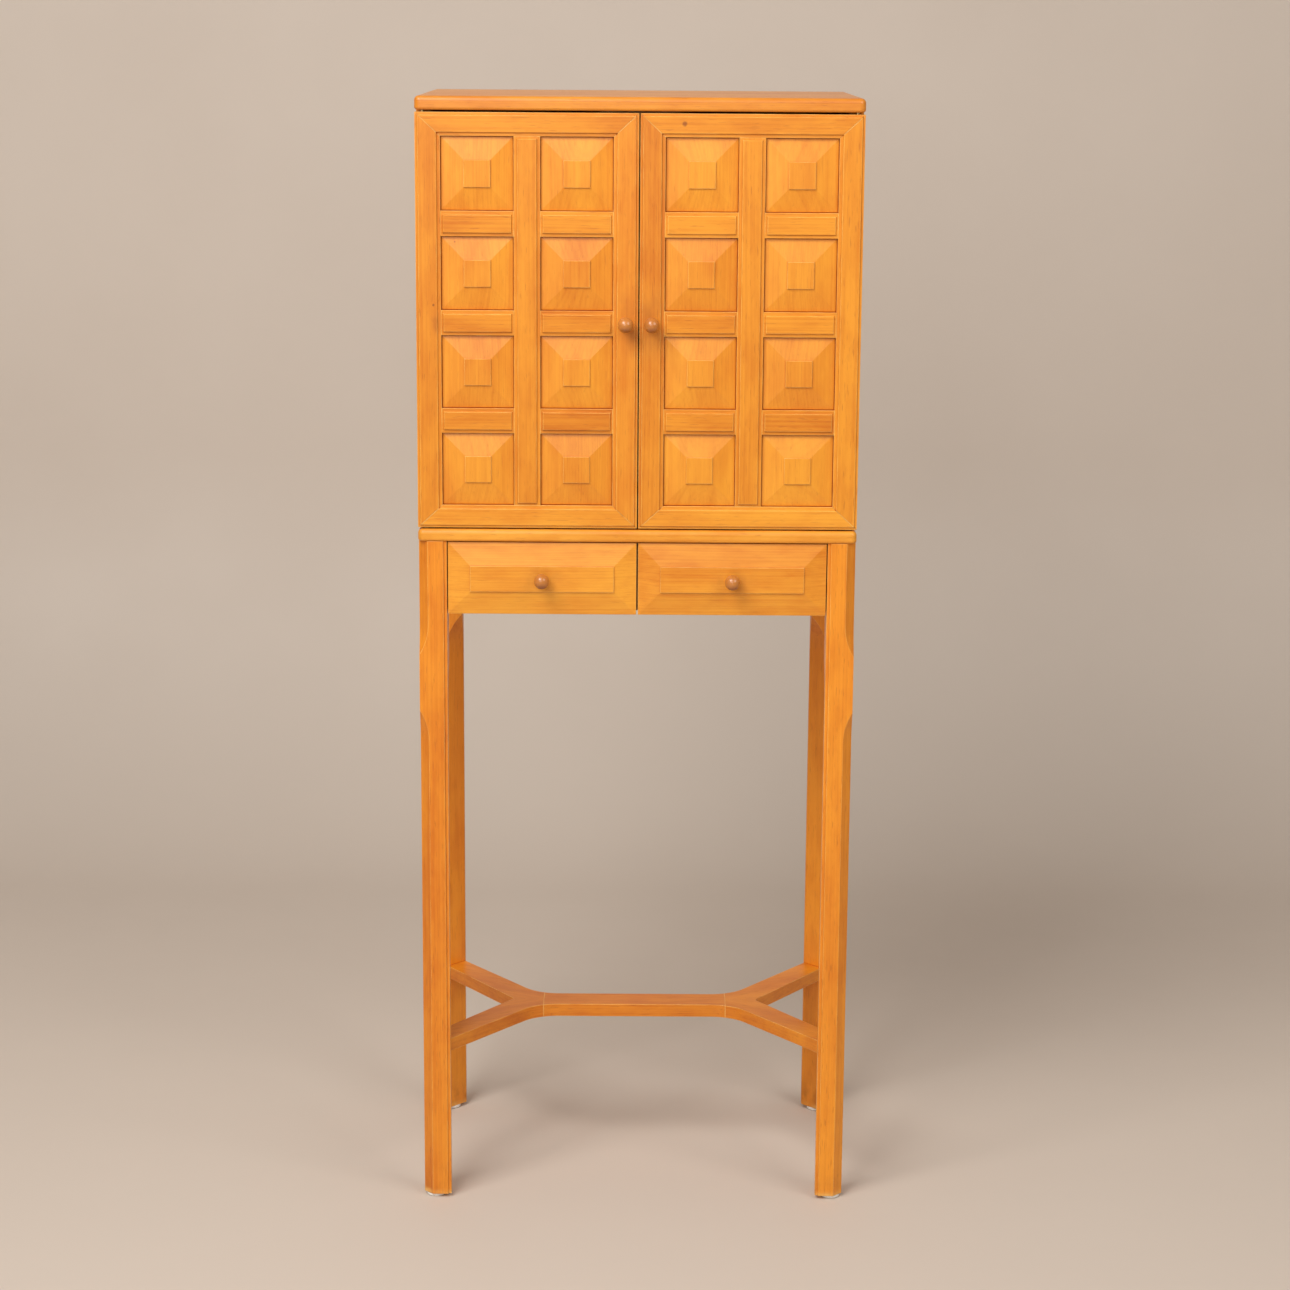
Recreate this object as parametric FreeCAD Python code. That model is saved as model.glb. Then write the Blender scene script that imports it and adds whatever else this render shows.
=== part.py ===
import FreeCAD, Part
import math
import os
from FreeCAD import Vector

# A small storage cabinet on a tall stand, of solid wood.
# Two framed doors of eight fielded panels each close the cabinet, and two drawers
# with fielded fronts hang in the stand, whose legs are tied by a double-Y stretcher.
# Millimetres. X runs left to right, Y front to back and Z up. The origin lies on the
# floor under the middle of the whole object, knobs included.

# The two boards that cap the cabinet and carry it
overall_height = 1347.0
board_length = 520.0
board_depth = 330.0
top_board_thickness = 16.0
base_board_thickness = 14.8
base_board_top = 842.8
board_corner_radius = 7.0
upper_arris_radius = 5.4
lower_arris_radius = 3.0

# The carcass behind the doors
carcass_end_inset = 1.0
carcass_thickness = 17.0
carcass_back_inset = 1.0
back_panel_thickness = 7.0
back_panel_rebate = 8.0
shelf_thickness = 14.0
shelf_height = 226.0
shelf_clearance = 1.0
shelf_front_inset = 12.0
shelf_edge_round = 2.0
shelf_pin_radius = 2.5
shelf_pin_length = 20.0
shelf_pin_depth = 9.0
shelf_pin_inset = 45.0

# The doors
door_end_inset = 0.35
door_thickness = 20.0
door_setback = 0.8
door_top_gap = 2.4
door_bottom_gap = 1.8
door_centre_gap = 1.5
door_back_gap = 1.6
door_rows = 4
stile_width = 29.2
rail_width = 27.0
muntin_width = 30.8
cross_rail_width = 29.3
outer_lip_width = 2.5
lip_width = 3.6
lip_depth = 2.0
step_bevel = 0.9
bar_end_lip = 2.2

# The fielded panels of the doors
panel_tongue = 4.0
panel_plate_thickness = 4.0
panel_plate_depth = 6.8
panel_quirk = 0.8
panel_rim = 1.0
panel_slope_rise = 4.2
panel_field_size = 31.0
field_step = 1.5

# The pivot hinges, one leaf in the board and one with the pin in the door's edge
hinge_leaf_length = 34.0
hinge_leaf_width = 9.0
hinge_leaf_thickness = 2.4
hinge_pivot_inset = 8.6
hinge_pivot_depth = 8.0
hinge_edge_round = 8.0
hinge_pin_radius = 2.0
hinge_pin_reach = 1.8
hinge_pin_clearance = 0.06

# The stop block behind the doors, with a magnet for a steel disc in either door
stop_length = 92.0
stop_depth = 20.0
stop_height = 20.0
catch_spacing = 28.0
catch_drop = 12.0
magnet_radius = 4.0
magnet_length = 10.0
disc_radius = 4.5
disc_thickness = 1.2

# The knobs, turned in one with the spigot that is glued into the front
knob_radius = 9.1
knob_neck_radius = 4.6
knob_waist_radius = 3.4
knob_neck_length = 5.2
knob_spigot_radius = 4.0
knob_spigot_length = 11.0

# The legs
stand_end_inset = 0.5
stand_inset = 1.2
leg_width = 33.5
leg_outer_chamfer = 10.8
leg_inner_chamfer = 22.0
leg_lip_width = 3.2
chamfer_stop_radius = 92.0
corner_block_top = 690.0
corner_block_bottom = 622.4
inner_chamfer_top = 681.0

# The aprons and front rails between the legs, with their tenons
apron_height = 84.0
apron_thickness = 18.0
apron_inset = 3.5
tenon_length = 16.0
tenon_thickness = 8.0
tenon_shoulder = 8.0
front_tenon_shoulder = 2.0

# The runners, guides and kickers that the drawers slide between
drawer_rail_lift = 3.0
drawer_rail_height = 14.0
runner_width = 26.0
centre_runner_width = 44.0
guide_height = 22.0
divider_width = 13.0
guide_clearance = 0.5
kicker_clearance = 0.6

# The drawers
drawer_front_height = 86.5
drawer_front_thickness = 12.0
drawer_front_inset = 3.0
drawer_top_gap = 1.2
drawer_side_gap = 1.2
drawer_centre_gap = 2.0
drawer_slope_rise = 5.0
drawer_field_length = 170.6
drawer_field_height = 31.0
drawer_side_thickness = 9.0
drawer_side_height = 58.0
drawer_joint_depth = 5.0
drawer_back_clearance = 3.0
drawer_back_drop = 4.0
drawer_bottom_thickness = 4.0
drawer_bottom_lift = 6.0
drawer_groove_depth = 4.0

# The stretcher, a bar between two forks whose arms end on the inner chamfers of the legs
stretcher_top = 204.0
stretcher_thickness = 16.0
stretcher_bar_width = 42.0
stretcher_joint = 116.0
stretcher_corner = 124.0
stretcher_corner_radius = 55.0
stretcher_crotch = 154.5
stretcher_crotch_radius = 6.0
dowel_radius = 4.0
dowel_length = 30.0
dowel_spacing = 20.0

# The glides under the legs
glide_radius = 12.0
glide_offset = 2.5
glide_height = 4.6
glide_bevel = 1.4
glide_nail_radius = 1.2
glide_nail_length = 14.0

# The screws that hold the cabinet down on the stand
stand_screw_radius = 2.2
stand_screw_length = 21.0
stand_screw_head_radius = 4.2
stand_screw_head_height = 2.6
stand_screw_spacing = 150.0

# How far every cutting shape runs past the piece that it cuts
cut_overrun = 2.0

# Heights
base_board_bottom = base_board_top - base_board_thickness
top_board_bottom = overall_height - top_board_thickness
door_bottom = base_board_top + door_bottom_gap
door_top = top_board_bottom - door_top_gap
door_height = door_top - door_bottom
door_middle = (door_bottom + door_top) / 2
shelf_bottom = base_board_top + shelf_height
apron_bottom = base_board_bottom - apron_height
drawer_top = base_board_bottom - drawer_top_gap
drawer_bottom = drawer_top - drawer_front_height
drawer_middle = (drawer_top + drawer_bottom) / 2
runner_bottom = drawer_bottom + drawer_rail_lift
runner_top = runner_bottom + drawer_rail_height
drawer_side_top = runner_top + drawer_side_height
kicker_bottom = drawer_side_top + kicker_clearance
drawer_base = runner_top + drawer_bottom_lift
drawer_floor = drawer_base + drawer_bottom_thickness
stretcher_bottom = stretcher_top - stretcher_thickness

# Depths, from the front edge of the boards to the back
knob_length = knob_neck_length + 2 * knob_radius
drawer_field_rise = drawer_slope_rise + field_step
knob_reach = max(knob_length - door_setback,
                 knob_length + drawer_field_rise - stand_inset - drawer_front_inset)
front_y = (knob_reach - board_depth) / 2
back_y = front_y + board_depth
door_front_y = front_y + door_setback
door_back_y = door_front_y + door_thickness
carcass_front_y = door_back_y + door_back_gap
carcass_back_y = back_y - carcass_back_inset
back_panel_y = carcass_back_y - back_panel_thickness
leg_front_y = front_y + stand_inset
leg_back_y = back_y - stand_inset
stand_middle_y = (leg_front_y + leg_back_y) / 2
front_rail_back_y = leg_front_y + leg_width
rear_leg_front_y = leg_back_y - leg_width
drawer_front_y = leg_front_y + drawer_front_inset
drawer_field_y = drawer_front_y - drawer_field_rise
drawer_joint_y = drawer_front_y + drawer_front_thickness
rear_apron_back_y = leg_back_y - apron_inset
rear_apron_front_y = rear_apron_back_y - apron_thickness
drawer_end_y = rear_apron_front_y - drawer_back_clearance

# Widths, on the right-hand side of the middle plane
carcass_outer_x = board_length / 2 - carcass_end_inset
carcass_inner_x = carcass_outer_x - carcass_thickness
door_inner_x = door_centre_gap / 2
door_outer_x = board_length / 2 - door_end_inset
door_width = door_outer_x - door_inner_x
pivot_x = door_outer_x - hinge_pivot_inset
pivot_y = door_back_y - hinge_pivot_depth
door_knob_x = door_inner_x + stile_width / 2
opening_width = (door_width - 2 * stile_width - muntin_width) / 2
opening_height = (door_height - 2 * rail_width - (door_rows - 1) * cross_rail_width) / door_rows
leg_outer_x = board_length / 2 - stand_end_inset
leg_inner_x = leg_outer_x - leg_width
apron_outer_x = leg_outer_x - apron_inset
apron_inner_x = apron_outer_x - apron_thickness
drawer_inner_x = drawer_centre_gap / 2
drawer_outer_x = leg_inner_x - drawer_side_gap
drawer_middle_x = (drawer_inner_x + drawer_outer_x) / 2
box_outer_x = drawer_outer_x - guide_clearance
box_inner_x = divider_width / 2 + guide_clearance


def box(x_from, x_to, y_from, y_to, z_from, z_to):
    """A block between two corners."""
    corner = Vector(x_from, y_from, z_from)
    return Part.makeBox(x_to - x_from, y_to - y_from, z_to - z_from, corner)


def rod(radius, start, direction, length):
    """A round rod."""
    return Part.makeCylinder(radius, length, start, direction)


def prism(points, direction):
    """A flat outline pushed out along a direction."""
    return Part.Face(Part.makePolygon(points + [points[0]])).extrude(direction)


def tapered_block(low, high, y_low, y_high):
    """A block on an upright face, from one rectangle (x, x, z, z) to a smaller one."""
    wires = []
    for rectangle, y in ((low, y_low), (high, y_high)):
        x_from, x_to, z_from, z_to = rectangle
        corners = [Vector(x_from, y, z_from), Vector(x_to, y, z_from),
                   Vector(x_to, y, z_to), Vector(x_from, y, z_to)]
        wires.append(Part.makePolygon(corners + [corners[0]]))
    return Part.makeLoft(wires, True, True)


def shrunk(rectangle, inset):
    """A rectangle (x, x, z, z) drawn in by the same amount on every side."""
    x_from, x_to, z_from, z_to = rectangle
    return (x_from + inset, x_to - inset, z_from + inset, z_to - inset)


def mirrored(shape):
    """The left-hand twin of a right-hand piece."""
    return shape.mirror(Vector(0, 0, 0), Vector(1, 0, 0))


def mirrored_back(shape):
    """The rear twin of a front piece of the stand."""
    return shape.mirror(Vector(0, stand_middle_y, 0), Vector(0, 1, 0))


def both_sides(shape):
    """A piece together with its left-hand twin."""
    return Part.makeCompound([shape, mirrored(shape)])


def rounded_board(z_from, z_to):
    """A board with round front corners and soft arrises at its front and ends."""
    half = board_length / 2
    board = box(-half, half, front_y, back_y, z_from, z_to)
    front_corners = [edge for edge in board.Edges
                     if edge.BoundBox.ZLength > lower_arris_radius and edge.BoundBox.YMin < 0]
    board = board.makeFillet(board_corner_radius, front_corners)
    for level, radius in ((z_to, upper_arris_radius), (z_from, lower_arris_radius)):
        rim = [edge for edge in board.Edges
               if edge.BoundBox.ZLength < radius / 2
               and abs(edge.BoundBox.ZMin - level) < radius / 2
               and edge.BoundBox.YMin < back_y - radius]
        board = board.makeFillet(radius, rim)
    return board


def top_board():
    """The board over the cabinet, sunk for the upper hinge leaves."""
    board = rounded_board(top_board_bottom, overall_height)
    return board.cut(both_sides(hinge_leaf(top_board_bottom)))


def base_board():
    """The board under the cabinet, sunk for the lower hinge leaves."""
    board = rounded_board(base_board_bottom, base_board_top)
    board = board.cut(both_sides(hinge_leaf(base_board_top - hinge_leaf_thickness)))
    return board.cut(stand_screws())


def hinge_leaf(z_from):
    """One leaf of a right-hand pivot hinge, round at both ends."""
    half = hinge_leaf_width / 2
    free_x = pivot_x - hinge_leaf_length + hinge_leaf_width
    bar = box(free_x, pivot_x, pivot_y - half, pivot_y + half, z_from, z_from + hinge_leaf_thickness)
    ends = [rod(half, Vector(x, pivot_y, z_from), Vector(0, 0, 1), hinge_leaf_thickness)
            for x in (free_x, pivot_x)]
    return bar.fuse(ends).removeSplitter()


def fixed_hinge_leaves():
    """The four leaves in the top and base boards, each drilled for a pin."""
    leaves = []
    for z in (top_board_bottom, base_board_top - hinge_leaf_thickness):
        start = Vector(pivot_x, pivot_y, z - cut_overrun)
        hole = rod(hinge_pin_radius + hinge_pin_clearance, start, Vector(0, 0, 1),
                   hinge_leaf_thickness + 2 * cut_overrun)
        leaf = hinge_leaf(z).cut(hole)
        leaves.append(leaf)
        leaves.append(mirrored(leaf))
    return Part.makeCompound(leaves)


def door_leaf(upper):
    """The leaf in the edge of the right-hand door, with the pin that stands out of it."""
    if upper:
        leaf = hinge_leaf(door_top - hinge_leaf_thickness)
        pin = rod(hinge_pin_radius, Vector(pivot_x, pivot_y, door_top), Vector(0, 0, 1),
                  door_top_gap + hinge_pin_reach)
    else:
        leaf = hinge_leaf(door_bottom)
        pin = rod(hinge_pin_radius, Vector(pivot_x, pivot_y, door_bottom), Vector(0, 0, -1),
                  door_bottom_gap + hinge_pin_reach)
    return leaf.fuse(pin).removeSplitter()


def catch_disc():
    """The steel disc in the back of the right-hand door."""
    start = Vector(catch_spacing, door_back_y, top_board_bottom - catch_drop)
    return rod(disc_radius, start, Vector(0, -1, 0), disc_thickness)


def door_fittings():
    """The two hinge leaves and the catch disc of the right-hand door."""
    return Part.makeCompound([door_leaf(True), door_leaf(False), catch_disc()])


def catch_magnets():
    """The two magnets in the front of the stop block."""
    start = Vector(catch_spacing, door_back_y, top_board_bottom - catch_drop)
    return both_sides(rod(magnet_radius, start, Vector(0, 1, 0), magnet_length))


def stop_block():
    """The block under the top board that both doors close against."""
    half = stop_length / 2
    block = box(-half, half, door_back_y, door_back_y + stop_depth,
                top_board_bottom - stop_height, top_board_bottom)
    return block.cut(catch_magnets())


def side_panel():
    """The right-hand side of the carcass, rebated for the back."""
    side = box(carcass_inner_x, carcass_outer_x, carcass_front_y, carcass_back_y,
               base_board_top, top_board_bottom)
    rebate = box(carcass_inner_x - cut_overrun, carcass_inner_x + back_panel_rebate,
                 back_panel_y, carcass_back_y + cut_overrun,
                 base_board_top - cut_overrun, top_board_bottom + cut_overrun)
    return side.cut(rebate).cut(shelf_pins())


def back_panel():
    """The back of the carcass, let into the rebates of the sides."""
    half = carcass_inner_x + back_panel_rebate
    return box(-half, half, back_panel_y, carcass_back_y, base_board_top, top_board_bottom)


def shelf():
    """The loose shelf, with its front arrises eased."""
    half = carcass_inner_x - shelf_clearance
    shelf_front_y = carcass_front_y + shelf_front_inset
    board = box(-half, half, shelf_front_y, back_panel_y - shelf_clearance,
                shelf_bottom, shelf_bottom + shelf_thickness)
    arrises = [edge for edge in board.Edges
               if edge.BoundBox.XLength > half and edge.BoundBox.YMax < shelf_front_y + shelf_edge_round]
    return board.makeFillet(shelf_edge_round, arrises)


def shelf_pins():
    """The four pins in the sides that the shelf lies on."""
    pins = []
    for y in (carcass_front_y + shelf_pin_inset, back_panel_y - shelf_pin_inset):
        start = Vector(carcass_inner_x + shelf_pin_depth, y, shelf_bottom - shelf_pin_radius)
        pin = rod(shelf_pin_radius, start, Vector(-1, 0, 0), shelf_pin_length)
        pins.append(pin)
        pins.append(mirrored(pin))
    return Part.makeCompound(pins)


def frame_section(width):
    """A door member's section, whose face steps down to a lip at both edges."""
    return [(0, door_thickness), (0, lip_depth), (outer_lip_width, lip_depth),
            (outer_lip_width + step_bevel, 0),
            (width - lip_width - step_bevel, 0), (width - lip_width, lip_depth),
            (width, lip_depth), (width, door_thickness)]


def door_stile(outer):
    """One of the two upright members of the right-hand door, mitred at both ends."""
    edge_x, way = (door_outer_x, -1) if outer else (door_inner_x, 1)
    points = [Vector(edge_x + way * u, door_front_y + v, door_bottom)
              for u, v in frame_section(stile_width)]
    stile = prism(points, Vector(0, 0, door_height))
    near_x = edge_x + way * stile_width
    stile = stile.common(mitre_keeper([(edge_x, door_bottom), (near_x, door_bottom + rail_width),
                                       (near_x, door_top - rail_width), (edge_x, door_top)]))
    stile = stile.cut(panel_grooves())
    if outer:
        return stile.cut([hinge_edge_cut(), door_leaf(True), door_leaf(False)])
    return stile.cut(knob_spigot(door_knob_x, door_front_y, door_middle))


def door_rail(upper):
    """The top or bottom member of the right-hand door, mitred at both ends."""
    edge_z, way = (door_top, -1) if upper else (door_bottom, 1)
    points = [Vector(door_inner_x, door_front_y + v, edge_z + way * u)
              for u, v in frame_section(rail_width)]
    rail = prism(points, Vector(door_width, 0, 0))
    near_z = edge_z + way * rail_width
    rail = rail.common(mitre_keeper([(door_inner_x, edge_z), (door_inner_x + stile_width, near_z),
                                     (door_outer_x - stile_width, near_z), (door_outer_x, edge_z)]))
    return rail.cut([panel_grooves(), hinge_edge_cut(), door_leaf(upper), catch_disc()])


def mitre_keeper(corners):
    """The space between the mitres of a member, through the whole door."""
    points = [Vector(x, door_front_y - cut_overrun, z) for x, z in corners]
    return prism(points, Vector(0, door_thickness + 2 * cut_overrun, 0))


def hinge_edge_cut():
    """What is taken off the rear edge of the hinge side, to leave it round."""
    centre_x = door_outer_x - hinge_edge_round
    centre_y = door_back_y - hinge_edge_round
    z_from = door_bottom - cut_overrun
    corner = box(centre_x, door_outer_x + cut_overrun, centre_y, door_back_y + cut_overrun,
                 z_from, door_top + cut_overrun)
    return corner.cut(rod(hinge_edge_round, Vector(centre_x, centre_y, z_from),
                          Vector(0, 0, 1), door_height + 2 * cut_overrun))


def door_openings():
    """The rectangle (x, x, z, z) of each panel opening of the right-hand door."""
    openings = []
    for column in range(2):
        x = door_inner_x + stile_width + column * (opening_width + muntin_width)
        for row in range(door_rows):
            z = door_bottom + rail_width + row * (opening_height + cross_rail_width)
            openings.append((x, x + opening_width, z, z + opening_height))
    return openings


def panel_plate(opening):
    """The flat plate of a panel, with the tongue that runs round it."""
    x_from, x_to, z_from, z_to = shrunk(opening, -panel_tongue)
    y = door_front_y + panel_plate_depth
    return box(x_from, x_to, y, y + panel_plate_thickness, z_from, z_to)


def panel_grooves():
    """The grooves that the tongues of the panels fill."""
    return Part.makeCompound([panel_plate(opening) for opening in door_openings()])


def fielded_panel(opening):
    """A panel with four slopes that rise to a small raised square."""
    plate_y = door_front_y + panel_plate_depth
    rim_y = plate_y - panel_rim
    slope_y = rim_y - panel_slope_rise
    raised = shrunk(opening, panel_quirk)
    x_from, x_to, z_from, z_to = opening
    half = panel_field_size / 2
    x_middle = (x_from + x_to) / 2
    z_middle = (z_from + z_to) / 2
    field = (x_middle - half, x_middle + half, z_middle - half, z_middle + half)
    slopes = tapered_block(raised, field, rim_y, slope_y)
    rim = box(raised[0], raised[1], rim_y, plate_y, raised[2], raised[3])
    square = box(field[0], field[1], slope_y - field_step, slope_y, field[2], field[3])
    return panel_plate(opening).fuse([rim, slopes, square]).removeSplitter()


def door_panels():
    """The eight fielded panels of the right-hand door."""
    return Part.makeCompound([fielded_panel(opening) for opening in door_openings()])


def barred(rectangle, inset_x, inset_z):
    """A bar with lips all round and a raised flat that is bevelled at every edge."""
    x_from, x_to, z_from, z_to = rectangle
    step_y = door_front_y + lip_depth
    low = (x_from + inset_x, x_to - inset_x, z_from + inset_z, z_to - inset_z)
    base = box(x_from, x_to, step_y, door_back_y, z_from, z_to)
    flat = tapered_block(low, shrunk(low, step_bevel), step_y, door_front_y)
    return base.fuse(flat).removeSplitter().cut(panel_grooves())


def door_muntin():
    """The upright bar between the two columns of panels."""
    x_from = door_inner_x + stile_width + opening_width
    return barred((x_from, x_from + muntin_width, door_bottom + rail_width, door_top - rail_width),
                  lip_width, bar_end_lip)


def door_cross_rails():
    """The six short bars between the rows of panels."""
    return Part.makeCompound([barred((x_from, x_to, z_to, z_to + cross_rail_width), bar_end_lip, lip_width)
                              for x_from, x_to, z_from, z_to in door_openings()
                              if z_to < door_top - rail_width - cross_rail_width])


def knob_spigot(x, y, z):
    """The round spigot that runs back from a front at the given place."""
    return rod(knob_spigot_radius, Vector(x, y, z), Vector(0, 1, 0), knob_spigot_length)


def knob(x, y, z):
    """A ball on a short waisted neck, with its spigot."""
    ball_start = knob_neck_length + knob_radius - math.sqrt(knob_radius ** 2 - knob_neck_radius ** 2)
    middle = Vector(0, 0, 0)
    foot = Vector(knob_neck_radius, 0, 0)
    waist = Vector(knob_waist_radius, -ball_start / 2, 0)
    collar = Vector(knob_neck_radius, -ball_start, 0)
    widest = Vector(knob_radius, -knob_neck_length - knob_radius, 0)
    tip = Vector(0, -knob_length, 0)
    outline = Part.Wire([Part.makeLine(middle, foot),
                         Part.Arc(foot, waist, collar).toShape(),
                         Part.Arc(collar, widest, tip).toShape(),
                         Part.makeLine(tip, middle)])
    body = Part.Face(outline).revolve(Vector(0, 0, 0), Vector(0, 1, 0), 360)
    body.translate(Vector(x, y, z))
    return body.fuse(knob_spigot(x, y, z)).removeSplitter()


def stop_run(depth):
    """The length over which a chamfer of this depth runs out."""
    return math.sqrt(2 * chamfer_stop_radius * depth - depth ** 2)


def stopped_chamfer(width, z_stop, z_open):
    """A cutter for a corner chamfer that curves out at one end.

    The corner stands at the origin, and the leg lies towards +X and +Y from it.
    """
    depth = width / math.sqrt(2)
    way = 1 if z_open > z_stop else -1
    full_z = z_stop + way * stop_run(depth)
    clear_z = full_z - way * stop_run(depth + cut_overrun)
    open_z = z_open + way * cut_overrun
    middle_angle = math.asin(stop_run(depth + cut_overrun) / chamfer_stop_radius) / 2
    bend = Vector(depth - chamfer_stop_radius + chamfer_stop_radius * math.cos(middle_angle), -leg_width,
                  full_z - way * chamfer_stop_radius * math.sin(middle_angle))
    corners = [Vector(-cut_overrun, -leg_width, open_z), Vector(depth, -leg_width, open_z),
               Vector(depth, -leg_width, full_z), Vector(-cut_overrun, -leg_width, clear_z)]
    outline = Part.Wire([Part.makeLine(corners[0], corners[1]),
                         Part.makeLine(corners[1], corners[2]),
                         Part.Arc(corners[2], bend, corners[3]).toShape(),
                         Part.makeLine(corners[3], corners[0])])
    cutter = Part.Face(outline).extrude(Vector(0, 2 * leg_width, 0))
    cutter.rotate(Vector(0, 0, 0), Vector(0, 0, 1), 45)
    return cutter


def stepped_arris(x, y, way):
    """A cutter for the lip that is stepped down on a side corner of the front right-hand leg."""
    corner = Vector(x, y, glide_height - cut_overrun)
    outline = [(-cut_overrun, -cut_overrun), (leg_lip_width + step_bevel, -cut_overrun),
               (leg_lip_width + step_bevel, 0), (leg_lip_width, lip_depth), (-cut_overrun, lip_depth)]
    return prism([corner + Vector(way * u, way * v, 0) for u, v in outline],
                 Vector(0, 0, overall_height))


def plain_leg():
    """The front right-hand leg before its mortises.

    Its outer corner has a chamfer that stops above and below a square block. The corner
    towards the middle of the stand has a wide one, and the other two a stepped lip.
    """
    leg = box(leg_inner_x, leg_outer_x, leg_front_y, front_rail_back_y, glide_height, base_board_bottom)
    for stop, end in ((corner_block_top, base_board_bottom), (corner_block_bottom, glide_height)):
        outer = stopped_chamfer(leg_outer_chamfer, stop, end)
        outer.rotate(Vector(0, 0, 0), Vector(0, 0, 1), 90)
        outer.translate(Vector(leg_outer_x, leg_front_y, 0))
        leg = leg.cut(outer)
    inner = stopped_chamfer(leg_inner_chamfer, inner_chamfer_top, glide_height)
    inner.rotate(Vector(0, 0, 0), Vector(0, 0, 1), -90)
    inner.translate(Vector(leg_inner_x, front_rail_back_y, 0))
    leg = leg.cut(inner)
    leg = leg.cut(stepped_arris(leg_inner_x, leg_front_y, 1))
    leg = leg.cut(stepped_arris(leg_outer_x, front_rail_back_y, -1))
    return leg.cut([glide(), leg_dowel()])


def front_leg():
    """The front right-hand leg, with mortises for the apron and the two front rails."""
    return plain_leg().cut([side_apron(), lower_front_rail(), upper_front_rail()])


def rear_leg():
    """The rear right-hand leg, with mortises for the two aprons."""
    return mirrored_back(plain_leg()).cut([side_apron(), rear_apron()])


def side_apron():
    """The right-hand apron, with a tenon in each leg."""
    body = box(apron_inner_x, apron_outer_x, front_rail_back_y, rear_leg_front_y,
               apron_bottom, base_board_bottom)
    middle_x = (apron_inner_x + apron_outer_x) / 2
    tenon = box(middle_x - tenon_thickness / 2, middle_x + tenon_thickness / 2,
                front_rail_back_y - tenon_length, rear_leg_front_y + tenon_length,
                apron_bottom + tenon_shoulder, base_board_bottom - tenon_shoulder)
    return body.fuse(tenon).removeSplitter()


def cross_member(y_from, y_to, z_from, z_to, shoulder):
    """A member from leg to leg across the stand, with a tenon at each end."""
    body = box(-leg_inner_x, leg_inner_x, y_from, y_to, z_from, z_to)
    middle_y = (y_from + y_to) / 2
    reach = leg_inner_x + tenon_length
    tenon = box(-reach, reach, middle_y - tenon_thickness / 2, middle_y + tenon_thickness / 2,
                z_from + shoulder, z_to - shoulder)
    return body.fuse(tenon).removeSplitter()


def rear_apron():
    """The apron at the back."""
    return cross_member(rear_apron_front_y, rear_apron_back_y, apron_bottom, base_board_bottom,
                        tenon_shoulder)


def lower_front_rail():
    """The rail behind the lower edge of the drawer fronts, which they close against."""
    return cross_member(drawer_joint_y, front_rail_back_y, runner_bottom, runner_top,
                        front_tenon_shoulder)


def upper_front_rail():
    """The rail behind the upper edge of the drawer fronts."""
    return cross_member(drawer_joint_y, front_rail_back_y, kicker_bottom, base_board_bottom,
                        front_tenon_shoulder)


def drawer_divider():
    """The short upright between the front rails."""
    half = divider_width / 2
    return box(-half, half, drawer_joint_y, front_rail_back_y, runner_top, kicker_bottom)


def side_runner():
    """The right-hand runner, with the guide worked on it."""
    bearer = box(apron_inner_x - runner_width, apron_inner_x, front_rail_back_y, rear_leg_front_y,
                 runner_bottom, runner_top)
    guide = box(drawer_outer_x, apron_inner_x, front_rail_back_y, rear_leg_front_y,
                runner_top, runner_top + guide_height)
    return bearer.fuse(guide).removeSplitter()


def centre_runner():
    """The runner under the inner sides of both drawers, with its guide."""
    half = centre_runner_width / 2
    bearer = box(-half, half, front_rail_back_y, rear_apron_front_y, runner_bottom, runner_top)
    guide = box(-divider_width / 2, divider_width / 2, front_rail_back_y, rear_apron_front_y,
                runner_top, runner_top + guide_height)
    return bearer.fuse(guide).removeSplitter()


def kickers():
    """The three strips over the drawer sides, which keep an open drawer from tipping."""
    half = centre_runner_width / 2
    side = box(apron_inner_x - runner_width, apron_inner_x, front_rail_back_y, rear_leg_front_y,
               kicker_bottom, base_board_bottom).cut(stand_screws())
    centre = box(-half, half, front_rail_back_y, rear_apron_front_y, kicker_bottom, base_board_bottom)
    return Part.makeCompound([side, mirrored(side), centre])


def stand_screws():
    """The four screws that run up through the side kickers into the base board."""
    screws = []
    for share in (-0.5, 0.5):
        start = Vector(apron_inner_x - runner_width / 2, stand_middle_y + share * stand_screw_spacing,
                       kicker_bottom)
        screw = rod(stand_screw_radius, start, Vector(0, 0, 1), stand_screw_length)
        screw = screw.fuse(rod(stand_screw_head_radius, start, Vector(0, 0, 1), stand_screw_head_height))
        screw = screw.removeSplitter()
        screws.append(screw)
        screws.append(mirrored(screw))
    return Part.makeCompound(screws)


def drawer_front():
    """The right-hand drawer front, with four slopes and a long raised field."""
    outline = (drawer_inner_x, drawer_outer_x, drawer_bottom, drawer_top)
    field = (drawer_middle_x - drawer_field_length / 2, drawer_middle_x + drawer_field_length / 2,
             drawer_middle - drawer_field_height / 2, drawer_middle + drawer_field_height / 2)
    slope_y = drawer_front_y - drawer_slope_rise
    plate = box(outline[0], outline[1], drawer_front_y, drawer_joint_y, outline[2], outline[3])
    slopes = tapered_block(outline, field, drawer_front_y, slope_y)
    raised = box(field[0], field[1], drawer_field_y, slope_y, field[2], field[3])
    front = plate.fuse([slopes, raised]).removeSplitter()
    spigot = knob_spigot(drawer_middle_x, drawer_field_y, drawer_middle)
    return front.cut([drawer_sides(), drawer_bottom_panel(), spigot])


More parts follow.
